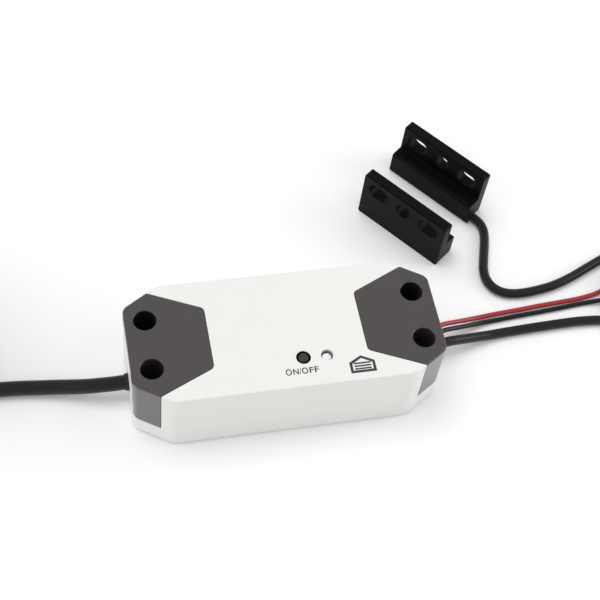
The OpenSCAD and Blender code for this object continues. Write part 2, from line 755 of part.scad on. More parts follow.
module main_board() {
    color(green) difference() {
        intersection() {
            block([-board_x, -half_w, board_z], [board_x, half_w, deck_z - rest]);
            inner_prism(board_gap, board_z - cut, deck_z + cut);
        }
        at_pegs() cylinder(h = case_h, d = peg_d + 2 * fit);
        // Notches for the bottom plate's hooks
        for (x = [-hook_x, hook_x], side = [-1, 1])
            translate([x, side * (half_w - wall_t), board_z])
                cube([hook_w + 1.2, 2 * (hook_t + 0.7), 4 * board_t], center = true);
        // Isolating slot beside the relay
        block([relay_x + relay_l / 2 + 1, -3.5, board_z - cut],
              [relay_x + relay_l / 2 + 2, board_y - 4, deck_z + cut]);
    }
}

// Resistors, diode, transistor and regulator, soldered to the top of the board
module small_parts() {
    color([0.12, 0.12, 0.13]) {
        for (i = [0 : 4]) translate([relay_x - 6.5 + 3.2 * i, -5.6, deck_z]) chip(1.6, 0.8, 0.5);
        for (i = [0 : 3]) translate([-16 + 3.4 * i, -8.6, deck_z]) chip(1.6, 0.8, 0.5);
        translate([-19.5, 3.7 - board_y, deck_z]) chip(6.5, 3.5, 1.6);
        translate([-10, 3.9 - board_y, deck_z]) chip(2.9, 1.4, 1.1);
        translate([-4.6, 3.9 - board_y, deck_z]) chip(3.6, 1.7, 1.1);
        for (i = [1 : 3]) translate([block_x + 1.35 - 3 * i, -6, deck_z]) chip(1.6, 0.8, 0.5);
    }
}

// Body of a small soldered part
module chip(l, w, h) {
    translate([-l / 2, -w / 2, 0]) cube([l, w, h]);
}

module capacitors() {
    color([0.1, 0.12, 0.2]) for (p = [[18.6, 4.3, 6.3, 7.7], [-26.2, 6.3, 5, 7]])
        translate([p[0], p[1] - board_y, deck_z]) rotate_extrude() polygon([
            [0, 0.2], [p[2] / 2, 0.2], [p[2] / 2, 1.1], [p[2] / 2 - 0.25, 1.4],
            [p[2] / 2, 1.7], [p[2] / 2, p[3] - 0.3], [p[2] / 2 - 0.3, p[3]], [0, p[3]]]);
}

radio_t = 0.8;
radio_gap = 0.1;
shield_l = radio_l - 5.6;
shield_w = radio_w - 2.8;
shield_h = 2.2;
shield_t = 0.2;

module radio_board() {
    color([0.08, 0.1, 0.3]) translate([radio_x, radio_y, deck_z + radio_gap]) difference() {
        translate([-radio_l / 2, -radio_w / 2, 0]) cube([radio_l, radio_w, radio_t]);
        // Plated half holes along both sides
        for (i = [1 : 7], side = [-1, 1])
            translate([1.6 * i - radio_l / 2, side * radio_w / 2, 0])
                cylinder(h = 4, d = 0.8, center = true, $fn = 16);
    }
}

module radio_shield() {
    l = shield_l - 2 * shield_t;
    w = shield_w - 2 * shield_t;
    color(steel) translate([radio_x - radio_l / 2 + 1, radio_y, deck_z + radio_gap + radio_t])
        difference() {
            translate([0, -shield_w / 2, 0]) cube([shield_l, shield_w, shield_h]);
            translate([shield_t, -w / 2, -cut]) cube([l, w, shield_h - shield_t + cut]);
        }
}

// The relay, in its own frame: middle of its footprint, standing on the board
relay_wall = 0.8;
core_x = -4.2;
leg_x = 2.4;
plate_t = 1.2;
hinge_z = pole_z + 0.8;
armature_gap = 0.05;

module at_relay() {
    translate([relay_x, relay_y, deck_z]) children();
}

module relay_case() {
    color([0.12, 0.3, 0.62]) at_relay() difference() {
        translate([-relay_l / 2, -relay_w / 2, 0.1]) cube([relay_l, relay_w, relay_h - 0.1]);
        translate([relay_wall - relay_l / 2, relay_wall - relay_w / 2, -cut])
            cube([relay_l - 2 * relay_wall, relay_w - 2 * relay_wall, relay_h - relay_wall + cut]);
    }
}

module relay_base() {
    l = relay_l - 2 * relay_wall - 2 * fit;
    w = relay_w - 2 * relay_wall - 2 * fit;
    color(black) at_relay() difference() {
        translate([-l / 2, -w / 2, 0.1]) cube([l, w, 1.3]);
        // Slots for the contact strips
        for (y = [-4, 4]) translate([7.4, y, 0]) cube([1, 2.4, 8], center = true);
    }
}

module relay_bobbin() {
    color([0.85, 0.83, 0.78]) at_relay() translate([core_x, 0, 0]) difference() {
        union() {
            for (z = [2.7, pole_z - 1.4]) translate([-4.4, -4.8, z]) cube([8.8, 9.6, 0.8]);
            translate([0, 0, 2.7]) cylinder(h = pole_z - 3.3, d = 4.6);
        }
        cylinder(h = relay_h, d = 3 + 2 * rest);
    }
}

module relay_winding() {
    color(copper) at_relay() translate([core_x, 0, 3.5 + rest]) difference() {
        cylinder(h = pole_z - 4.9 - 2 * rest, d = 8.4);
        translate([0, 0, -cut]) cylinder(h = relay_h, d = 4.6 + 2 * rest);
    }
}

module relay_core() {
    color(steel) at_relay() translate([core_x, 0, 0]) rotate_extrude() polygon([
        [0, 1.45], [1.5, 1.45], [1.5, pole_z - 0.55], [2.6, pole_z - 0.55],
        [2.6, pole_z], [0, pole_z]]);
}

module relay_yoke() {
    color(steel) at_relay() difference() {
        translate([0, 4, 0]) rotate([90, 0, 0]) linear_extrude(8) polygon([
            [core_x - 3.6, 1.45], [leg_x, 1.45], [leg_x, hinge_z - armature_gap],
            [leg_x - plate_t, hinge_z - armature_gap], [leg_x - plate_t, 2.6],
            [core_x - 3.6, 2.6]]);
        translate([core_x, 0, 0]) cylinder(h = 4, d = 3 + 2 * rest);
    }
}

module relay_armature() {
    color(steel) at_relay() translate([0, 3.8, hinge_z + armature_gap]) rotate([90, 0, 0])
        linear_extrude(7.6) polygon([[core_x - 3, 0], [leg_x + 0.4, 0], [leg_x + 0.4, 0.9],
                                     [core_x - 3, 0.9]]);
}

contact_x = 6.8;

module relay_moving_contact() {
    z = hinge_z + armature_gap + 0.9;
    color(copper) at_relay() {
        translate([-3, -1.6, z]) cube([contact_x + 4, 3.2, 0.25]);
        translate([contact_x, 0, z - 0.3]) cylinder(h = 0.85, d = 1.8, $fn = 32);
    }
}

module relay_fixed_contacts() {
    z = hinge_z + armature_gap + 0.9;
    low_top = z - 0.3 - 0.03;
    high_low = z + 0.55 + 0.42;
    color(brass) at_relay() {
        // Strip and contact that the blade rests on
        translate([contact_x, 0, low_top - 0.3]) cylinder(h = 0.3, d = 1.8, $fn = 32);
        block([contact_x - 1.1, -1.2, low_top - 0.6], [8.1, 1.2, low_top - 0.28]);
        block([7.8, -4.9, low_top - 0.6], [8.1, 1.2, low_top - 0.28]);
        block([7.4, -4.9, 0.2], [7.7, -3.1, low_top - 0.28]);
        block([7.4, -4.9, low_top - 0.6], [8.1, -3.1, low_top - 0.28]);
        // Strip and contact that the blade is pulled against
        translate([contact_x, 0, high_low]) cylinder(h = 0.3, d = 1.8, $fn = 32);
        block([contact_x - 1.1, -1.2, high_low + 0.25], [8.1, 4.9, high_low + 0.5]);
        block([7.4, 3.1, 0.2], [7.7, 4.9, high_low + 0.5]);
    }
}

// Row of screw terminals whose wire entries look along +X, standing on the board
function pole_places(poles) = [for (i = [0 : poles - 1]) (i - (poles - 1) / 2) * pole_pitch];
cage_w = 2.7;
cage_l = 4.6;
cage_h = 4.4;
entry_in = 2.1;

module terminal(poles) {
    w = poles * pole_pitch + 0.5;
    difference() {
        translate([terminal_x, w / 2, deck_z]) rotate([90, 0, 0]) linear_extrude(w) polygon([
            [-terminal_d, 0], [0, 0], [0, entry_z + 2.6], [-1.4, terminal_h],
            [-terminal_d, terminal_h]]);
        for (y = pole_places(poles)) {
            translate([terminal_x - entry_in - cage_l, y - cage_w / 2 - fit, deck_z + entry_z - 1.4])
                cube([cage_l + fit, cage_w + 2 * fit, cage_h + 0.9]);
            translate([terminal_x, y, deck_z + entry_z]) rotate([0, 90, 0])
                cylinder(h = 2 * entry_in + 1, d = 2.4, center = true);
            translate([terminal_x - entry_in - cage_l / 2, y, deck_z + entry_z])
                cylinder(h = terminal_h, d = cage_w + 0.2);
        }
    }
}

module cage(y) {
    translate([terminal_x - entry_in - cage_l + 0.1, y - cage_w / 2, deck_z + entry_z - 1.35])
        difference() {
            cube([cage_l - 0.2, cage_w, cage_h]);
            translate([-cut, 0.4, 0.5]) cube([cage_l + 2 * cut, cage_w - 0.8, 1.8]);
            translate([cage_l / 2 - 0.1, cage_w / 2, 1]) cylinder(h = cage_h, d = 1.6 + 2 * rest);
        }
}

module terminal_screw(y) {
    translate([terminal_x - entry_in - cage_l / 2, y, deck_z + entry_z]) difference() {
        union() {
            translate([0, 0, 0.9]) cylinder(h = 3.2, d = 1.6);
            translate([0, 0, cage_h - 1.25]) cylinder(h = 1.4, d = 2.5);
        }
        translate([-2, -0.25, cage_h - 0.5]) cube([4, 0.5, 2]);
    }
}

module power_terminal() {
    color([0.16, 0.45, 0.25]) rotate([0, 0, 180]) terminal(2);
}

module wire_terminal() {
    color([0.16, 0.45, 0.25]) terminal(4);
}

module terminal_cages() {
    color(steel) {
        rotate([0, 0, 180]) for (y = pole_places(2)) cage(y);
        for (y = pole_places(4)) cage(y);
    }
}

module terminal_screws() {
    color(steel) {
        rotate([0, 0, 180]) for (y = pole_places(2)) terminal_screw(y);
        for (y = pole_places(4)) terminal_screw(y);
    }
}

// Two insulated cores from the end of a jacket to the right-hand terminals at places
module leads(y, split, d, places) {
    entry = deck_z + entry_z;
    for (i = [0, 1]) {
        from = y + (i - 0.5) * split;
        cord([[jacket_x - rest, from, cord_z], [jacket_x - 1, from, cord_z],
              [(jacket_x + terminal_x) / 2, (from + places[i]) / 2, (cord_z + entry) / 2],
              [terminal_x + 0.8, places[i], entry], [terminal_x, places[i], entry],
              [terminal_x - wire_in, places[i], entry]], d, 8);
    }
}

module power_leads() {
    color([0.7, 0.1, 0.1]) rotate([0, 0, 180]) leads(-power_y, 1.5, 1.2, pole_places(2));
}

module sensor_leads() {
    color([0.8, 0.8, 0.78]) leads(sensor_y, 1.3, 1, pole_places(4));
}

// Where each coil lies, and its outer shape
power_coil_at = [-115.4, 18.9, 0];
sensor_coil_at = [156, 12.6, 0];
wire_coil_at = [119.5, 13.1, 0];
power_coil_d = 44;
sensor_coil_d = 36;
wire_coil_d = 15.5;
tip_l = 6;
tip_d = 0.9;

module power_cord_run() {
    color(black) cord(power_route, power_d, 10);
}

module power_cord_coil() {
    color(black) translate(power_coil_at)
        coil(power_coil_d, 2 * power_d, 4 * power_d, power_d / 2);
}

module power_cord_end() {
    color(black) cord(power_end_route, power_d, 10);
}

module red_wire_run() {
    color([0.75, 0.08, 0.1]) cord(red_route, wire_d);
}

module black_wire_run() {
    color(black) cord(black_route, wire_d);
}

module red_wire_coil() {
    color([0.75, 0.08, 0.1]) translate(wire_coil_at)
        coil(wire_coil_d, 2 * wire_d, 2 * wire_d, wire_d / 2);
}

module black_wire_coil() {
    color(black) translate(wire_coil_at + [0, 0, 2 * wire_d])
        coil(wire_coil_d, 2 * wire_d, 2 * wire_d, wire_d / 2);
}

module sensor_cord_out() {
    color(black) cord(sensor_out_route, sensor_cord_d);
}

module sensor_cord_back() {
    color(black) cord(sensor_back_route, sensor_cord_d);
}

module sensor_cord_coil() {
    color(black) translate(sensor_coil_at)
        coil(sensor_coil_d, 4 * sensor_cord_d, 4 * sensor_cord_d, sensor_cord_d / 2);
}

// Stripped and tinned ends of the two wires
module wire_tip(place, side, z) {
    translate(wire_coil_at + [0, 0, z]) rotate([0, 0, place])
        translate([(wire_coil_d + wire_d) / 2, 0, 0]) rotate([side * 90, 0, 0])
            translate([0, 0, 3]) {
                cylinder(h = tip_l, d = tip_d);
                translate([0, 0, tip_l]) sphere(d = tip_d, $fn = 24);
            }
}

module red_wire_tip() {
    color(steel) wire_tip(165, 1, wire_d * 1.5);
}

module black_wire_tip() {
    color(steel) wire_tip(197, -1, wire_d * 3.5);
}

// Plug of the power lead, lying flat beside the coil, its shell towards +Y
plug_at = [-139.4, 70.5, 0];
relief_l = 9;

module at_plug() {
    translate(plug_at + [0, 0, plug_grip_h / 2]) rotate([0, 0, 90]) children();
}

module plug_shell() {
    w = plug_shell_w / 2;
    h = plug_shell_h / 2;
    color(steel) at_plug() translate([plug_grip_l / 2, 0, 0]) rotate([90, 0, 90]) difference() {
        translate([0, 0, -2]) linear_extrude(plug_shell_l + 2)
            polygon(rounded(box_points([-w, -h], [w, h]), [0.5, 0.5, 0.5, 0.5], 3));
        translate([0, 0, -2 - cut]) linear_extrude(plug_shell_l + 2 + 2 * cut)
            polygon(rounded(box_points([0.3 - w, 0.3 - h], [w - 0.3, h - 0.3]),
                            [0.3, 0.3, 0.3, 0.3], 3));
        // The two square latch windows in each broad face
        for (x = [-1, 1]) translate([x * 2.6, 0, plug_shell_l * 0.5])
            cube([2.2, 3 * h, 2.2], center = true);
    }
}

module plug_tongue() {
    w = plug_shell_w / 2 - 0.5;
    color([0.92, 0.92, 0.9]) at_plug() translate([plug_grip_l / 2, 0, 0])
        block([-1.9, -w, 0.35 - plug_shell_h / 2], [plug_shell_l - 0.3, w, 2.25 - plug_shell_h / 2]);
}

module plug_grip() {
    w = plug_grip_w / 2;
    h = plug_grip_h / 2;
    color(black) at_plug() difference() {
        union() {
            rotate([90, 0, 90]) linear_extrude(plug_grip_l, center = true)
                polygon(rounded(box_points([-w, -h], [w, h]), [1.6, 1.6, 1.6, 1.6], 4));
            // Tapered strain relief towards the cord
            rotate([0, -90, 0])
                cylinder(h = plug_grip_l / 2 + relief_l, d1 = 7, d2 = power_d + 1);
        }
        // Seat of the metal shell
        block([plug_grip_l / 2 - 2 - rest, -plug_shell_w / 2 - rest, -plug_shell_h / 2 - rest],
              [plug_grip_l / 2 + cut, plug_shell_w / 2 + rest, plug_shell_h / 2 + rest]);
        // Finger grooves
        for (x = [-3, 0, 3], side = [-1, 1])
            translate([x, side * (w + 0.4), 0]) cylinder(h = 20, d = 1.6, center = true, $fn = 24);
    }
}

// Reed switch and magnet: moulded L-shaped cases, a slotted flange behind a low block
module at_switch() {
    translate([switch_x, switch_y, 0]) rotate([0, 0, pair_turn]) children();
}

module at_magnet() {
    translate([switch_x, switch_y, 0]) rotate([0, 0, pair_turn])
        translate([pair_shift, -pair_apart, 0]) rotate([0, 0, 180]) children();
}

pocket_l = pair_l - 6;
pocket_d = pair_d - 3;
pocket_h = pair_block_h - 2;

module pair_body() {
    l = pair_l / 2;
    difference() {
        intersection() {
            // Side profile, swept along the length
            translate([l, 0, 0]) rotate([90, 0, -90]) linear_extrude(pair_l) polygon(concat(
                [[0, 0], [pair_d - 0.5, 0], [pair_d, 0.5], [pair_d, pair_block_h - pair_edge],
                 [pair_d - pair_edge, pair_block_h], [pair_flange_t + 0.2, pair_block_h],
                 [pair_flange_t, pair_block_h + 0.2], [pair_flange_t, pair_h - 0.3],
                 [pair_flange_t - 0.3, pair_h], [0.3, pair_h], [0, pair_h - 0.3]]));
            // Front elevation, with its rounded upper corners
            translate([0, cut, 0]) rotate([90, 0, 0]) linear_extrude(pair_d + 2 * cut)
                polygon(rounded(box_points([-l, 0], [l, pair_h]), [0.5, 0.5, pair_r, pair_r], 4));
        }
        translate([0, 0, pair_hole_z]) rotate([90, 0, 0]) {
            cylinder(h = 4 * pair_d, d = fix_d, center = true);
            for (side = [-1, 1]) {
                for (end = [-1, 1]) translate([side * fix_pitch + end * slot_extra / 2, 0, 0])
                    cylinder(h = 4 * pair_d, d = fix_d, center = true);
                translate([side * fix_pitch, 0, 0])
                    cube([slot_extra, fix_d, 4 * pair_d], center = true);
            }
        }
        // Pocket in the underside of the block, filled with resin
        block([-pocket_l / 2, -pair_d + 1.5, -cut], [pocket_l / 2, -1.5, pocket_h]);
    }
}

// Resin fill of a pocket, with room for what it holds
module potting() {
    difference() {
        block([rest - pocket_l / 2, rest - pair_d + 1.5, 0.3],
              [pocket_l / 2 - rest, -1.5 - rest, pocket_h - rest]);
        children();
    }
}

reed_y = -pair_d / 2;
reed_z = pair_block_h / 2;

// Arched notch for the cord at the foot of the switch's end, grown by d
module cord_notch(d) {
    translate([cord_out_y, cord_out_z]) circle(boot_d / 2 + d);
    translate([cord_out_y - boot_d / 2 - d, -cut]) square([boot_d + 2 * d, cord_out_z + cut]);
}

module switch_case() {
    color(black) at_switch() difference() {
        pair_body();
        translate([pocket_l / 2 - rest, 0, 0]) rotate([90, 0, 90]) linear_extrude(3 + 3 * cut)
            cord_notch(0);
    }
}

module switch_potting() {
    color([0.1, 0.1, 0.11]) at_switch() potting()
        translate([0, reed_y, reed_z]) rotate([0, 90, 0])
            cylinder(h = reed_l + 7, d = reed_d + 2 * rest, center = true);
}

module reed_glass() {
    color([0.7, 0.85, 0.8]) at_switch() translate([0, reed_y, reed_z]) rotate([0, 90, 0])
        difference() {
            cylinder(h = reed_l, d = reed_d, center = true);
            cylinder(h = reed_l - 2.4, d = reed_d - 0.7, center = true);
            cylinder(h = reed_l + cut, d = 0.7, center = true, $fn = 16);
        }
}

module reed_blades() {
    color(steel) at_switch() translate([0, reed_y, reed_z]) for (side = [0, 180])
        rotate([side, 0, side]) {
            rotate([0, 90, 0]) translate([0, 0, reed_l / 2 - 1.6])
                cylinder(h = 4.4, d = 0.6, $fn = 16);
            translate([-1.2, -0.45, 0.08]) cube([reed_l / 2, 0.9, 0.2]);
        }
}

module switch_boot() {
    color(black) at_switch() translate([pocket_l / 2 + rest, 0, 0]) rotate([90, 0, 90])
        linear_extrude((pair_l - pocket_l) / 2 + 0.3) difference() {
            intersection() {
                cord_notch(-rest);
                translate([-pair_d, rest]) square(pair_d);
            }
            translate([cord_out_y, cord_out_z]) circle(d = sensor_cord_d + 2 * rest);
        }
}

magnet_l = 20;
magnet_w = 3.4;
magnet_h = 3.6;

module magnet_case() {
    color(black) at_magnet() pair_body();
}

module magnet_bar() {
    color(steel) at_magnet() translate([0, reed_y - 0.5, reed_z])
        cube([magnet_l, magnet_w, magnet_h], center = true);
}

module magnet_potting() {
    color([0.1, 0.1, 0.11]) at_magnet() potting()
        translate([0, reed_y - 0.5, reed_z])
            cube([magnet_l + 2 * rest, magnet_w + 2 * rest, magnet_h + 2 * rest], center = true);
}

main_shell();
base_plate();
left_cover();
right_cover();
left_cover_screws();
right_cover_screws();
left_cable_clamp();
right_cable_clamp();
power_grommet();
wire_grommet();
button_plunger();
tact_switch();
tact_frame();
tact_dome();
light_pipe();
status_led();
main_board();
small_parts();
capacitors();
radio_board();
radio_shield();
relay_base();
relay_case();
relay_bobbin();
relay_winding();
relay_core();
relay_yoke();
relay_armature();
relay_moving_contact();
relay_fixed_contacts();
power_terminal();
wire_terminal();
terminal_screws();
terminal_cages();
power_leads();
sensor_leads();
power_cord_run();
power_cord_coil();
power_cord_end();
plug_grip();
plug_shell();
plug_tongue();
red_wire_run();
red_wire_coil();
red_wire_tip();
black_wire_run();
black_wire_coil();
black_wire_tip();
sensor_cord_out();
sensor_cord_coil();
sensor_cord_back();
switch_case();
switch_potting();
switch_boot();
reed_glass();
reed_blades();
magnet_case();
magnet_bar();
magnet_potting();
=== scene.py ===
# Garage door controller: a white relay box with dark end covers, its USB power lead, the two
# wires for the door opener, and the wired reed switch with the magnet that passes it.
import json
from math import cos, pi, radians, sin
import bpy
from mathutils import Matrix, Vector

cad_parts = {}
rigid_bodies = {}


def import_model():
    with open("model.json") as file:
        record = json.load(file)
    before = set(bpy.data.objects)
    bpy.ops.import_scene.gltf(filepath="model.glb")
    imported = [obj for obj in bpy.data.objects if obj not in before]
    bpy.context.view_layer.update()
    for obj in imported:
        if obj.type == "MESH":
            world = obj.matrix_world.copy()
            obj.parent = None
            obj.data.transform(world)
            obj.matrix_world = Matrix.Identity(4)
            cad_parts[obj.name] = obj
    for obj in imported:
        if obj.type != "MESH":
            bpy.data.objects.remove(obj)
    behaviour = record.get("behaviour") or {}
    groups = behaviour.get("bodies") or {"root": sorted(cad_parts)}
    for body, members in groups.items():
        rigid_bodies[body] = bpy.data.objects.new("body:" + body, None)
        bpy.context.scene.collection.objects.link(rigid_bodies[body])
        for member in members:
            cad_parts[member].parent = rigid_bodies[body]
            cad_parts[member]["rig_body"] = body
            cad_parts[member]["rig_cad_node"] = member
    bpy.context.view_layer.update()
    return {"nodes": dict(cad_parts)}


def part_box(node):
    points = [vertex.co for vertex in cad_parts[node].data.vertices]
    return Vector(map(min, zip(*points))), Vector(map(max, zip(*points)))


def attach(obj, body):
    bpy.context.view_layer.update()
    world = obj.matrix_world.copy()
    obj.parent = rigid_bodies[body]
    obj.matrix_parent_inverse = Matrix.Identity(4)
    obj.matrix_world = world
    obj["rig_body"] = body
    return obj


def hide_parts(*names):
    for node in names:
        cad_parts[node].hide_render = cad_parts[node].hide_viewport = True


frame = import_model()
MM = 0.001

# Camera. It stands to the left and in front of the box and looks steeply down on it, tilted
# a little to the side, as the photograph was taken. The lens is a short telephoto.
bpy.ops.object.camera_add(location=(-61.947 * MM, -189.755 * MM, 337.225 * MM),
                          rotation=(radians(33.482), radians(-5.332), radians(-10.848)))
camera = bpy.context.active_object
camera.data.sensor_width = 36
camera.data.lens = 78.414
camera.data.clip_start = 0.01
bpy.context.scene.camera = camera


# Plug of the power lead: a moulded grip with finger grooves and a tapered strain relief, a
# folded and nickel-plated steel shell with four latch windows, and a white contact tongue.
def plain_material(name, colour, roughness, **more):
    material = bpy.data.materials.new(name)
    material.use_nodes = True
    shader = material.node_tree.nodes["Principled BSDF"]
    shader.inputs["Base Color"].default_value = (*colour, 1)
    shader.inputs["Roughness"].default_value = roughness
    for socket, value in more.items():
        shader.inputs[socket.replace("_", " ")].default_value = value
    return material


# Texture of one kind, laid over the object's own coordinates
def texture_on(material, kind):
    tree = material.node_tree
    place = tree.nodes.new("ShaderNodeTexCoord")
    texture = tree.nodes.new(kind)
    tree.links.new(place.outputs["Object"], texture.inputs["Vector"])
    return texture


def noise_of(material, size, detail=3.0):
    noise = texture_on(material, "ShaderNodeTexNoise")
    noise.inputs["Scale"].default_value = 1 / size
    noise.inputs["Detail"].default_value = detail
    return noise.outputs["Fac"]


def add_grain(material, size, depth, detail=3.0):
    tree = material.node_tree
    bump = tree.nodes.new("ShaderNodeBump")
    bump.inputs["Strength"].default_value = 1
    bump.inputs["Distance"].default_value = depth
    tree.links.new(noise_of(material, size, detail), bump.inputs["Height"])
    shader = tree.nodes["Principled BSDF"]
    tree.links.new(bump.outputs["Normal"], shader.inputs["Normal"])


def spread_of(material, source, low, high, socket):
    tree = material.node_tree
    span = tree.nodes.new("ShaderNodeMapRange")
    span.inputs["From Min"].default_value = 0.3
    span.inputs["From Max"].default_value = 0.7
    span.inputs["To Min"].default_value = low
    span.inputs["To Max"].default_value = high
    tree.links.new(source, span.inputs["Value"])
    tree.links.new(span.outputs["Result"], tree.nodes["Principled BSDF"].inputs[socket])


def add_tint(material, source, dull, bright):
    tree = material.node_tree
    ramp = tree.nodes.new("ShaderNodeValToRGB")
    ramp.color_ramp.elements[0].position = 0.3
    ramp.color_ramp.elements[0].color = (*dull, 1)
    ramp.color_ramp.elements[1].position = 0.7
    ramp.color_ramp.elements[1].color = (*bright, 1)
    tree.links.new(source, ramp.inputs["Fac"])
    shader = tree.nodes["Principled BSDF"]
    tree.links.new(ramp.outputs["Color"], shader.inputs["Base Color"])


def plastic(name, colour, roughness, grain=0.25 * MM, depth=0.004 * MM, cloud=0.05, **more):
    material = plain_material(name, colour, roughness, **more)
    add_grain(material, grain, depth)
    cloud_size = 6 * MM
    cloudy = noise_of(material, cloud_size, 2)
    spread_of(material, cloudy, roughness - 0.04, roughness + 0.04, "Roughness")
    dull, bright = ([c * shade for c in colour] for shade in (1 - cloud, 1 + cloud))
    add_tint(material, cloudy, dull, bright)
    return material


def metal(name, colour, roughness, scratch=0.15 * MM):
    material = plain_material(name, colour, roughness, Metallic=1)
    streaks = noise_of(material, scratch, 4)
    spread_of(material, streaks, roughness - 0.07, roughness + 0.09, "Roughness")
    add_grain(material, 2 * scratch, 0.002 * MM)
    return material


# Gives one or more solids of the frame their finish, as they are
def finish_solid(material, *nodes):
    for node in nodes:
        solid = frame["nodes"][node]
        solid.data.materials.clear()
        solid.data.materials.append(material)


# Skin of one solid, merged, with its sharp edges broken by a small round
def skin_of(node, body, material, edge=0.12 * MM, sharp=35):
    weld = 0.002 * MM
    flat = radians(0.5)
    bpy.ops.object.select_all(action="DESELECT")
    solid = frame["nodes"][node]
    solid.select_set(True)
    bpy.context.view_layer.objects.active = solid
    bpy.ops.object.duplicate()
    piece = bpy.context.active_object
    bpy.ops.object.parent_clear(type="CLEAR_KEEP_TRANSFORM")
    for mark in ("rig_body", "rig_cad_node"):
        del piece[mark]
    piece.name = "dressed_" + node
    bpy.ops.object.mode_set(mode="EDIT")
    bpy.ops.mesh.select_all(action="SELECT")
    bpy.ops.mesh.remove_doubles(threshold=weld)
    bpy.ops.mesh.dissolve_limited(angle_limit=flat)
    bpy.ops.object.mode_set(mode="OBJECT")
    if edge:
        bevel = piece.modifiers.new("edge", "BEVEL")
        bevel.width = edge
        bevel.segments = 2
        bevel.limit_method = "ANGLE"
        bevel.angle_limit = radians(sharp)
        bevel.use_clamp_overlap = False
        bpy.ops.object.modifier_apply(modifier=bevel.name)
    bpy.ops.object.shade_smooth_by_angle(angle=radians(sharp))
    weighted = piece.modifiers.new("weighted", "WEIGHTED_NORMAL")
    weighted.keep_sharp = True
    bpy.ops.object.modifier_apply(modifier=weighted.name)
    piece.data.materials.clear()
    piece.data.materials.append(material)
    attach(piece, body)
    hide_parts(node)
    return piece


grip_black = plastic("grip_black", (0.012, 0.012, 0.013), 0.42, 0.2 * MM, 0.006 * MM)
bright_steel = metal("bright_steel", (0.66, 0.67, 0.69), 0.26)
tongue_white = plastic("tongue_white", (0.8, 0.8, 0.78), 0.4)
plug_grip = skin_of("plug_grip", "controller", grip_black, 0.3 * MM)
plug_shell = skin_of("plug_shell", "controller", bright_steel, 0.05 * MM)
plug_tongue = skin_of("plug_tongue", "controller", tongue_white, 0.1 * MM)

# Power lead: a 4.4 mm round cable with a smooth black PVC jacket, 1 m long. It leaves the left
# end through a rubber grommet, drops to the table and is wound up, with its plug beside it.
power_thick = 4.4 * MM
power_route = [
    (-36.4, -1.2, 6.5), (-41, -1.2, 6.5), (-45.8, -1.2, 6.5), (-49, -1.2, 6.35),
    (-52.5, -0.9, 5.9), (-56, -0.4, 5.2), (-60, 0.5, 4.2), (-65, 1.7, 3.1), (-71, 2.7, 2.4),
    (-77, 3.4, 2.2), (-84, 3.7, 2.2), (-91, 3.1, 2.2), (-98.5, 0.8, 2.2), (-105.6, -3.2, 2.2),
]
power_end_route = [
    (-139.6, 18.9, 15.4), (-139.8, 24, 15.3), (-139.9, 29, 14.6), (-139.9, 34, 12.6),
    (-139.8, 39, 9.4), (-139.6, 43.5, 6.6), (-139.4, 48, 4.5), (-139.4, 52, 3.8),
    (-139.4, 56, 3.8),
]


# Smooth line through the points of a route, given in millimetres
def smooth_line(route, parts=8):
    line = []
    for i in range(len(route) - 1):
        a, b, c, d = (Vector(route[min(max(i + k, 0), len(route) - 1)]) for k in (-1, 0, 1, 2))
        for k in range(parts):
            f = k / parts
            line.append(MM * 0.5 * (2 * b + (c - a) * f + (2 * a - 5 * b + 4 * c - d) * f * f
                                    + (3 * b - a - 3 * c + d) * f ** 3))
    return line + [MM * Vector(route[-1])]


# Cord wound in layers. It steps from ring to ring over part of a turn, each layer the other
# way across, and swings a little wide where it climbs.
def wind(centre, radii, thick, layers, start, turns, way):
    step_share = 0.29
    turn_parts = 36
    swing = 0.3 * thick
    rings = [(r, thick * (layer + 0.5)) for layer in range(layers)
             for r in (radii if layer % 2 == 0 else radii[::-1])]
    line = []
    steps = round(turn_parts * turns)
    for k in range(steps + 1):
        turned = turns * k / steps
        radius, height = rings[0]
        for j in range(1, len(rings)):
            f = min(max((turned - j * turns / len(rings)) / step_share + 0.5, 0), 1)
            f = f * f * (3 - 2 * f)
            radius += f * (rings[j][0] - rings[j - 1][0])
            height += f * (rings[j][1] - rings[j - 1][1])
            if rings[j][0] == rings[j - 1][0]:
                outward = 1 if rings[j][0] == max(radii) else -1
                radius += 4 * f * (1 - f) * swing * outward
        angle = radians(start) + way * 2 * pi * turned
        line.append(Vector(centre) + Vector((radius * cos(angle), radius * sin(angle), height)))
    return line


# Round cord along a line of points
def lay_cord(name, line, thick, material):
    curve = bpy.data.curves.new(name, "CURVE")
    curve.dimensions = "3D"
    curve.bevel_depth = thick / 2
    curve.bevel_resolution = 5
    curve.use_fill_caps = True
    spline = curve.splines.new("POLY")
    spline.points.add(len(line) - 1)
    for point, place in zip(spline.points, line):
        point.co = (*place, 1)
    cord = bpy.data.objects.new(name, curve)
    bpy.context.scene.collection.objects.link(cord)
    curve.materials.append(material)
    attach(cord, "controller")
    return cord


def pvc(name, colour, roughness):
    return plastic(name, colour, roughness, 1.2 * MM, 0.015 * MM, Specular_IOR_Level=0.25,
                   Coat_Weight=0.15, Coat_Roughness=0.15)


jacket_black = pvc("jacket_black", (0.008, 0.008, 0.0085), 0.36)
power_coil_centre = Vector((-115.4, 18.9, 0)) * MM
power_radii = [24.2 * MM, 19.8 * MM]
power_line = smooth_line(power_route)
power_line += wind(power_coil_centre, power_radii, power_thick, layers=4, start=-66.1,
                   turns=6.3164, way=-1)[1:]
power_line += smooth_line(power_end_route)[1:]
power_lead = lay_cord("power_lead", power_line, power_thick, jacket_black)
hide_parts("power_cord_run", "power_cord_coil", "power_cord_end")

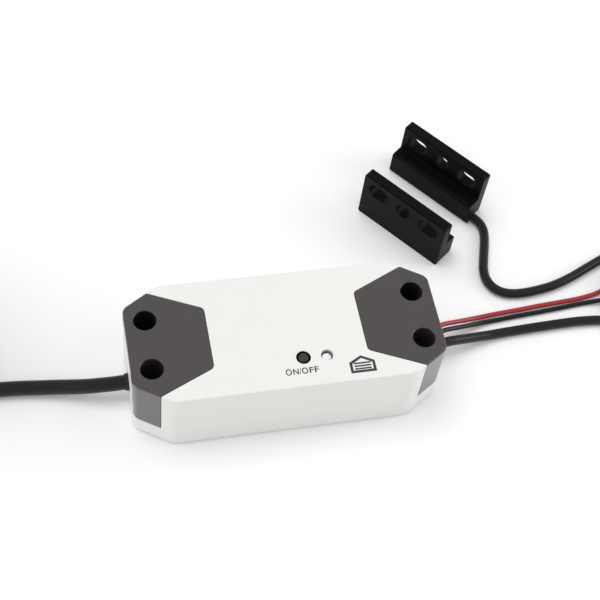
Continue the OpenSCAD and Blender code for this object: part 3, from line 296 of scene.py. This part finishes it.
# Door wires: one red and one black stranded wire, 1.5 mm over the PVC, about 0.3 m long. They
# are wound up together and end in 6 mm of bare, tinned strands.
wire_thick = 1.5 * MM
red_route = [
    (28, 5.25, 8.1), (31.8, 5.25, 8.1), (33.2, 4.9, 7.9), (34.8, 4.3, 7.6), (36.6, 3.9, 7.4),
    (41, 3.9, 7.4), (45.8, 3.9, 7.4), (48.6, 4.7, 7.1), (52, 6.1, 6.2), (56, 7.4, 4.5),
    (61, 8.9, 2.5), (66, 10.1, 1.2), (72, 10.9, 0.8), (79, 11.4, 0.8), (86, 12, 0.8),
    (93, 12.5, 0.8), (100, 13.1, 0.8), (106.6, 14.5, 0.8), (112.1, 17.3, 0.8),
]
black_route = [
    (28, 1.75, 8.1), (31.8, 1.75, 8.1), (33.4, 1.8, 7.9), (35, 1.9, 7.6), (36.6, 1.9, 7.4),
    (41, 1.9, 7.4), (45.8, 1.9, 7.4), (48.6, 2.6, 7.1), (52, 4, 6.2), (56, 5.3, 4.5),
    (61, 6.8, 2.5), (66, 8, 1.2), (72, 8.7, 0.8), (79, 9.3, 0.8), (86, 9.8, 0.8),
    (93, 10.4, 0.8), (99, 11, 0.8), (104, 11.1, 1.2), (107.8, 10.6, 2.6), (110.4, 9.6, 3.7),
    (112.9, 7.7, 3.9),
]
wire_coil_centre = Vector((119.5, 13.1, 0)) * MM
wire_radii = [8.5 * MM, 7 * MM]
into_tip = 3 * MM
tinned = metal("tinned_strands", (0.62, 0.62, 0.6), 0.34, 0.08 * MM)
door_wires = (
    ("red", red_route, 0, 150.4, 3.959, -1, (0.36, 0.035, 0.045)),
    ("black", black_route, 3 * MM, 219.3, 3.938, 1, (0.008, 0.008, 0.009)),
)
for shade, route, raised, start, turns, way, colour in door_wires:
    insulation = pvc("insulation_" + shade, colour, 0.3)
    line = smooth_line(route)
    centre = wire_coil_centre + Vector((0, 0, raised))
    line += wind(centre, wire_radii, wire_thick, 2, start, turns, way)[1:]
    line.append(line[-1] + into_tip * (line[-1] - line[-2]).normalized())
    wire = lay_cord(shade + "_wire", line, wire_thick, insulation)
    tip = skin_of(shade + "_wire_tip", "controller", tinned, 0)
    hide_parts(shade + "_wire_run", shade + "_wire_coil")

# Sensor cord: a 3 mm two-core cable, 2 m long, from the box to the foot of the reed switch.
# What isn't needed between them is wound up beside the door wires.
sensor_thick = 3 * MM
sensor_out_route = [
    (36.4, -1, 6.5), (41, -1, 6.5), (45.8, -1, 6.5), (49, -0.5, 6.3), (53, 0.3, 5.6),
    (57, 1.1, 4.4), (62, 2.1, 3), (67, 2.9, 1.9), (73, 3.5, 1.5), (81, 3.9, 1.5),
    (89, 4.2, 1.5), (97, 4.3, 1.5), (105, 3.6, 1.5), (113, 1.6, 1.5), (121, -0.4, 1.5),
    (130, -2.2, 1.5), (138, -4.4, 1.5), (146.1, -7.6, 1.5),
]
sensor_back_route = [
    (71.3, 50.6, 1.5), (72.9, 48.6, 1.5), (74.3, 46.8, 1.5), (75.3, 44.6, 1.5),
    (75.5, 41.8, 1.5), (74.8, 38.4, 1.5), (73.7, 34.8, 1.5), (72.5, 31, 1.5),
    (71.5, 27.4, 1.5), (71.3, 23.6, 1.5), (72.7, 20.2, 1.5), (75.6, 17.9, 1.5),
    (79.6, 17, 1.5), (85, 17.2, 1.5), (92, 18.4, 1.5), (99, 20.8, 1.5), (106, 24, 1.5),
    (113, 27, 1.5), (121, 29.2, 1.7), (128, 30.6, 3.2), (134, 31.6, 6.2),
    (140, 32.6, 9.2), (146.5, 33, 10.5),
]
sensor_coil_centre = Vector((156, 12.6, 0)) * MM
sensor_radii = [22.5 * MM, 19.5 * MM, 16.5 * MM, 13.5 * MM]
sensor_line = smooth_line(sensor_out_route)
sensor_line += wind(sensor_coil_centre, sensor_radii, sensor_thick, layers=4, start=244,
                    turns=15.642, way=1)[1:]
sensor_line += smooth_line(sensor_back_route)[::-1][1:]
sensor_cord = lay_cord("sensor_cord", sensor_line, sensor_thick, jacket_black)
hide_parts("sensor_cord_out", "sensor_cord_coil", "sensor_cord_back")

# Housing: the main shell and the bottom plate that snaps into it, both moulded in white ABS
# with a very fine satin texture. The walls splay a little towards the foot, as the mould needs,
# the shell's rim stays just clear of the table, and painted shade darkens the two holes' walls.
white_abs = plastic("white_abs", (0.8, 0.8, 0.777), 0.38, 0.3 * MM, 0.002 * MM, 0.006)
painted_shade_black = plastic("painted_shade_black", (0.012, 0.012, 0.012), 0.7, 0.1 * MM, 0.003 * MM)
painted_shade_grey = plastic("painted_shade_grey", (0.36, 0.36, 0.36), 0.5, 0.1 * MM, 0.003 * MM)
case_high = Vector((45, 19.3, 24)) * MM
corner_cut = Vector((10.7, 6.7)) * MM
splay_out = 0.5 * MM
skin_deep = 0.6 * MM
rim_low = 0.2 * MM
rim_clear = 0.45 * MM
hole_edge = 0.25 * MM
button_hole = (Vector((3.3, -9.9)) * MM, 2.2 * MM)
light_hole = (Vector((10.1, -10)) * MM, 1.85 * MM)


# Splays the outer faces of the housing, or of a cover, towards the foot
def splay(piece):
    reach = corner_cut.length
    cut_at = case_high.x * corner_cut.y + (case_high.y - corner_cut.y) * corner_cut.x
    for vertex in piece.data.vertices:
        x, y, z = abs(vertex.co.x), abs(vertex.co.y), vertex.co.z
        deep = min(case_high.x - x, case_high.y - y,
                   (cut_at - x * corner_cut.y - y * corner_cut.x) / reach)
        if deep < skin_deep:
            out = splay_out * (1 - z / case_high.z)
            vertex.co.y *= 1 + out / case_high.y


shell = skin_of("main_shell", "controller", white_abs)
splay(shell)
for vertex in shell.data.vertices:
    if vertex.co.z < rim_low:
        vertex.co.z += rim_clear
# Painted shade on the hole walls: near black in the button's hole, grey in the light's hole
for (middle, reach), painted_wall_shade in ((button_hole, painted_shade_black), (light_hole, painted_shade_grey)):
    shell.data.materials.append(painted_wall_shade)
    for face in shell.data.polygons:
        if (face.center.xy - middle).length < reach and face.center.z < case_high.z - hole_edge:
            face.material_index = len(shell.data.materials) - 1
skin_of("base_plate", "controller", white_abs)

# End covers: dark grey ABS with a fine matt texture. Each has two flaps over the cut corners
# and two wells, matt inside and darkened there with painted shade, at whose bottom sit the
# captive cross-head screws.
cover_grey = plastic("cover_grey", (0.047, 0.036, 0.036), 0.32, 0.12 * MM, 0.002 * MM, 0.03,
                     Coat_Weight=0.8, Coat_Roughness=0.16)
well_matt_painted_shade = plastic("well_matt_painted_shade", (0.012, 0.011, 0.011), 0.8, 0.12 * MM, 0.006 * MM,
                    Specular_IOR_Level=0.12)
black_zinc = metal("black_zinc", (0.05, 0.05, 0.052), 0.42)
well_x = 39.05 * MM
well_y = 11.15 * MM
well_reach = 3.3 * MM
well_lip = 0.3 * MM


# Paints shade into the wells: their inner faces take the darker matt material
def paint_shade_in_wells(cover):
    cover.data.materials.append(well_matt_painted_shade)
    lip_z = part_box(cover.name.removeprefix("dressed_"))[1].z - well_lip
    for face in cover.data.polygons:
        across = Vector((abs(face.center.x) - well_x, abs(face.center.y) - well_y))
        if across.length < well_reach and face.center.z < lip_z:
            face.material_index = 1


for side in ("left", "right"):
    body = side + "_end_cover"
    cover = skin_of(side + "_cover", body, cover_grey, 0.1 * MM)
    paint_shade_in_wells(cover)
    splay(cover)
    skin_of(side + "_cover_screws", body, black_zinc, 0.06 * MM)

# Cable entries: a clamp bar over the cables at each end, and rubber grommets in the end walls
soft_rubber = plastic("soft_rubber", (0.011, 0.011, 0.012), 0.62, 0.2 * MM, 0.008 * MM)
clamp_black = plastic("clamp_black", (0.014, 0.014, 0.015), 0.45)
for node in ("left_cable_clamp", "right_cable_clamp"):
    skin_of(node, "controller", clamp_black)
for node in ("power_grommet", "wire_grommet"):
    skin_of(node, "controller", soft_rubber, 0.08 * MM)

# Push button: a black nylon plunger that stands in a collar of the shell and reaches down to a
# small push-button switch on the board. Its slightly domed end comes just above the top.
button_black = plastic("button_black", (0.03, 0.03, 0.031), 0.4)
crown_high = 0.35 * MM
dome_rings = ((0.3, 0.07), (0.35, 0.05), (0.35, 0.03))
plunger = skin_of("button_plunger", "button", button_black, 0.15 * MM)
bpy.ops.object.select_all(action="DESELECT")
plunger.select_set(True)
bpy.context.view_layer.objects.active = plunger
bpy.ops.object.mode_set(mode="EDIT")
bpy.ops.mesh.select_all(action="DESELECT")
bpy.ops.object.mode_set(mode="OBJECT")
plunger_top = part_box("button_plunger")[1].z
for face in plunger.data.polygons:
    face.select = face.normal.z > 0.99 and abs(face.center.z - plunger_top) < 0.01 * MM
bpy.ops.object.mode_set(mode="EDIT")
bpy.ops.mesh.select_mode(type="FACE")
bpy.ops.mesh.select_more()
bpy.ops.mesh.select_more()
bpy.ops.transform.translate(value=(0, 0, crown_high))
bpy.ops.mesh.select_less()
bpy.ops.mesh.select_less()
for inward, rise in dome_rings:
    bpy.ops.mesh.inset(thickness=inward * MM)
    bpy.ops.transform.translate(value=(0, 0, rise * MM))
bpy.ops.object.mode_set(mode="OBJECT")
bpy.ops.object.shade_smooth_by_angle(angle=radians(40))
finish_solid(clamp_black, "tact_switch")
finish_solid(bright_steel, "tact_frame", "tact_dome")

# Light pipe: a rod of clear acrylic from the light up to the top, where its end is left rough,
# so that it shows milky white inside a clear rim. The rough end has a faint painted glow; the
# light below it is not lit.
clear_acrylic = plain_material("clear_acrylic", (0.55, 0.56, 0.56), 0.1, IOR=1.49,
                               Transmission_Weight=0.8)
add_grain(clear_acrylic, 0.5 * MM, 0.003 * MM)
# Rough end of the pipe: milky white, with a faint painted glow
rough_end_painted_glow = plastic("rough_end_painted_glow", (0.9, 0.9, 0.9), 0.3, 0.4 * MM, 0.03 * MM, 0.06,
                    Emission_Color=(1, 1, 1, 1), Emission_Strength=0.12)
pipe = skin_of("light_pipe", "controller", clear_acrylic, 0.1 * MM)
pipe.data.materials.append(rough_end_painted_glow)
pipe_low, pipe_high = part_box("light_pipe")
pipe_middle = (pipe_low + pipe_high) / 2
rough_reach = 1.25 * MM
rough_deep = 0.25 * MM
for face in pipe.data.polygons:
    across = (face.center - pipe_middle).xy
    if face.center.z > pipe_high.z - rough_deep and across.length < rough_reach:
        face.material_index = 1
led_resin = plastic("led_resin", (0.85, 0.8, 0.5), 0.2)
finish_solid(led_resin, "status_led")

# Printing on the top: the words for the push button, in thin dark grey letters, and a small
# sign of a garage door. Both are pad-printed, a few hundredths of a millimetre thick.
ink_thick = 0.02 * MM
top_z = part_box("main_shell")[1].z
ink = plastic("dark_ink", (0.04, 0.04, 0.042), 0.5, 0.1 * MM, 0.002 * MM)


def print_on_top(piece):
    solid = piece.modifiers.new("ink", "SOLIDIFY")
    solid.thickness = ink_thick
    solid.offset = 1
    bpy.context.view_layer.objects.active = piece
    bpy.ops.object.modifier_apply(modifier=solid.name)
    bpy.ops.object.transform_apply(location=True, rotation=True, scale=True)
    piece.data.materials.clear()
    piece.data.materials.append(ink)
    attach(piece, "controller")


words_y = -14.25
words_bold = 0.016
letters = (
    ("O", -2.6, 1.75, 2.0), ("N", -0.48, 1.58, 1.9), ("/", 1.34, 0.52, 1.95),
    ("O", 2.03, 1.72, 2.0), ("F", 4.16, 1.16, 1.9), ("F", 5.66, 1.2, 1.9),
)
words_parts = []
for letter, left, wide, high in letters:
    bpy.ops.object.select_all(action="DESELECT")
    bpy.ops.object.text_add()
    drawn = bpy.context.active_object
    drawn.data.body = letter
    drawn.data.offset = words_bold
    bpy.ops.object.convert(target="MESH")
    corner = Vector([min(v.co[k] for v in drawn.data.vertices) for k in range(3)])
    far = Vector([max(v.co[k] for v in drawn.data.vertices) for k in range(3)])
    drawn.data.transform(Matrix.Translation(-corner))
    drawn.scale = (wide * MM / (far.x - corner.x), high * MM / (far.y - corner.y), 1)
    drawn.location = (left * MM, (words_y - high / 2) * MM, top_z)
    words_parts.append(drawn)
bpy.ops.object.select_all(action="DESELECT")
for drawn in words_parts:
    drawn.select_set(True)
bpy.ops.object.transform_apply(location=True, rotation=True, scale=True)
bpy.context.view_layer.objects.active = words_parts[0]
bpy.ops.object.join()
words = bpy.context.active_object
words.name = "switch_words"
print_on_top(words)

sign_centre = Vector((19.4 * MM, -14.2 * MM, top_z))
sign_wide = 7.4 * MM
sign_wall = 3.5 * MM
sign_roof = 2 * MM
sign_line = 0.8 * MM
slat_count = 3
slat_wide = sign_wide - 3.2 * sign_line
slat_thick = 0.5 * MM
sign_low = sign_centre.y - (sign_wall + sign_roof) / 2


def select_top_middle(mesh, x):
    for vertex in mesh.vertices:
        vertex.select = abs(vertex.co.x - x) < 1e-5 and vertex.co.y > sign_centre.y - 1e-4


bpy.ops.object.select_all(action="DESELECT")
wall_centre = (sign_centre.x, sign_low + sign_wall / 2, top_z)
bpy.ops.mesh.primitive_plane_add(size=1, location=wall_centre)
sign = bpy.context.active_object
sign.name = "door_sign_frame"
sign.scale = (sign_wide, sign_wall, 1)
bpy.ops.object.transform_apply(location=True, rotation=True, scale=True)
bpy.ops.object.mode_set(mode="EDIT")
bpy.ops.mesh.select_all(action="SELECT")
bpy.ops.mesh.bisect(plane_co=sign_centre, plane_no=(1, 0, 0))
bpy.ops.mesh.select_all(action="DESELECT")
bpy.ops.object.mode_set(mode="OBJECT")
select_top_middle(sign.data, sign_centre.x)
bpy.ops.object.mode_set(mode="EDIT")
bpy.ops.transform.translate(value=(0, sign_roof, 0))
bpy.ops.mesh.select_all(action="SELECT")
bpy.ops.mesh.select_mode(type="FACE")
bpy.ops.mesh.dissolve_faces()
bpy.ops.mesh.inset(thickness=sign_line, use_even_offset=True)
bpy.ops.mesh.delete(type="FACE")
bpy.ops.object.mode_set(mode="OBJECT")
print_on_top(sign)
for k in range(slat_count):
    y = sign_low + sign_line + (k + 0.5) * (sign_wall - sign_line) / slat_count
    bpy.ops.object.select_all(action="DESELECT")
    bpy.ops.mesh.primitive_plane_add(size=1, location=(sign_centre.x, y, top_z))
    slat = bpy.context.active_object
    slat.name = "door_sign_slat_%d" % (k + 1)
    slat.scale = (slat_wide, slat_thick, 1)
    bpy.ops.object.transform_apply(location=True, rotation=True, scale=True)
    print_on_top(slat)

# Circuit board: green solder resist over a glass-fibre board, with its small parts, two
# electrolytic capacitors and the shielded wireless board.
board_green = plain_material("board_green", (0.02, 0.13, 0.06), 0.3, Coat_Weight=0.3)
tracks = texture_on(board_green, "ShaderNodeTexVoronoi")
tracks.distance = "MANHATTAN"
tracks_per_metre = 420
tracks.inputs["Scale"].default_value = tracks_per_metre
add_tint(board_green, tracks.outputs["Distance"], (0.03, 0.19, 0.085), (0.012, 0.1, 0.045))
chip_black = plastic("chip_black", (0.015, 0.015, 0.017), 0.5, 0.1 * MM, 0.006 * MM)
sleeve = plastic("capacitor_sleeve", (0.012, 0.016, 0.05), 0.25)
board_blue = plastic("board_blue", (0.012, 0.03, 0.13), 0.28)
skin_of("main_board", "controller", board_green, 0.05 * MM)
skin_of("capacitors", "controller", sleeve, 0.05 * MM)
finish_solid(chip_black, "small_parts")
finish_solid(board_blue, "radio_board")
finish_solid(bright_steel, "radio_shield")

# Relay: a blue moulded case over a copper winding on a nylon bobbin, with its iron core and
# yoke, the armature that tilts on the yoke's edge, and the brass contact springs.
relay_blue = plastic("relay_blue", (0.02, 0.09, 0.36), 0.22)
nylon_cream = plastic("nylon_cream", (0.7, 0.66, 0.55), 0.45)
enamelled = metal("enamelled_copper", (0.55, 0.2, 0.07), 0.3)
turns_seen = texture_on(enamelled, "ShaderNodeTexWave")
turns_seen.bands_direction = "Z"
waves_scale = 1400
turns_seen.inputs["Scale"].default_value = waves_scale
add_tint(enamelled, turns_seen.outputs["Fac"], (0.3, 0.09, 0.03), (0.62, 0.25, 0.09))
brass = metal("contact_brass", (0.72, 0.5, 0.2), 0.3)
finish_solid(relay_blue, "relay_case")
finish_solid(clamp_black, "relay_base")
finish_solid(nylon_cream, "relay_bobbin")
finish_solid(enamelled, "relay_winding")
finish_solid(bright_steel, "relay_core", "relay_yoke", "relay_armature")
finish_solid(brass, "relay_moving_contact", "relay_fixed_contacts")

# Screw terminals: green nylon blocks with plated cages and slotted screws, and the cores of
# the two cables that lead into them.
zinc = metal("zinc_plated", (0.6, 0.61, 0.62), 0.3)
nylon_green = plastic("nylon_green", (0.03, 0.2, 0.07), 0.4)
core_red = pvc("core_red", (0.4, 0.02, 0.02), 0.32)
core_white = pvc("core_white", (0.7, 0.7, 0.67), 0.32)
for node in ("power_terminal", "wire_terminal"):
    skin_of(node, "controller", nylon_green, 0.08 * MM)
for node in ("terminal_screws", "terminal_cages"):
    skin_of(node, "controller", zinc, 0.04 * MM)
skin_of("power_leads", "controller", core_red, 0, 60)
skin_of("sensor_leads", "controller", core_white, 0, 60)

# Reed switch and magnet: two equal black cases with a drilled flange behind a low block. The
# pockets below hold the reed switch and the bar magnet in poured resin.
case_black = plastic("case_black", (0.004, 0.004, 0.0043), 0.42, 0.15 * MM, 0.003 * MM,
                     Specular_IOR_Level=0.08)
resin = plastic("poured_resin", (0.012, 0.012, 0.013), 0.18, 2 * MM, 0.01 * MM)
reed_glass = plain_material("reed_glass", (0.75, 0.92, 0.85), 0.03, IOR=1.5,
                            Transmission_Weight=0.9)
add_grain(reed_glass, 1 * MM, 0.002 * MM)
nickel = metal("nickel_plated", (0.6, 0.59, 0.57), 0.2)
skin_of("switch_case", "controller", case_black, 0.18 * MM)
skin_of("switch_boot", "controller", soft_rubber, 0.08 * MM)
skin_of("magnet_case", "magnet", case_black, 0.18 * MM)
finish_solid(resin, "switch_potting", "magnet_potting")
finish_solid(reed_glass, "reed_glass")
finish_solid(bright_steel, "reed_blades")
finish_solid(nickel, "magnet_bar")

# Table and studio light: a wide, matt white table top, a large soft lamp high above, a little
# to the left and behind, far enough away to light the whole table alike, a reflector low on
# either side, and an even white room.
table_wide = 6
table_cloud = 0.05
table_dull, table_bright = (0.878, 0.878, 0.878), (0.882, 0.882, 0.882)
bpy.ops.mesh.primitive_plane_add(size=table_wide, location=(0, 0, 0))
table = bpy.context.active_object
table.name = "table_top"
table_white = plain_material("table_white", (0.88, 0.88, 0.88), 0.7, Specular_IOR_Level=0.2,
                             Emission_Color=(1, 1, 1, 1), Emission_Strength=0.06)
add_tint(table_white, noise_of(table_white, table_cloud, 2), table_dull, table_bright)
table.data.materials.append(table_white)


def aim_at_box(light, place):
    light.rotation_euler = (-Vector(place)).to_track_quat("-Z", "Y").to_euler()


lamp_place = (-0.22, 0.24, 0.9)
lamp_angle = radians(40)
lamp_power = 1.14
bpy.ops.object.light_add(type="SUN", location=lamp_place)
lamp = bpy.context.active_object
lamp.name = "soft_lamp"
lamp.data.angle = lamp_angle
lamp.data.energy = lamp_power
lamp.visible_glossy = False
aim_at_box(lamp, lamp_place)
reflector_wide = 0.4
reflectors = (
    ("right_reflector", (0.6, -0.03, 0.25), 1.25), ("left_reflector", (-0.6, -0.1, 0.2), 0.7),
)
for name, place, power in reflectors:
    bpy.ops.object.light_add(type="AREA", location=place)
    reflector = bpy.context.active_object
    reflector.name = name
    reflector.data.size = reflector_wide
    reflector.data.energy = power
    aim_at_box(reflector, place)
room_level = 0.64
room = bpy.data.worlds.new("room")
room.use_nodes = True
room.node_tree.nodes["Background"].inputs["Color"].default_value = (1, 1, 1, 1)
room.node_tree.nodes["Background"].inputs["Strength"].default_value = room_level
bpy.context.scene.world = room
bpy.context.scene.view_settings.view_transform = "Standard"
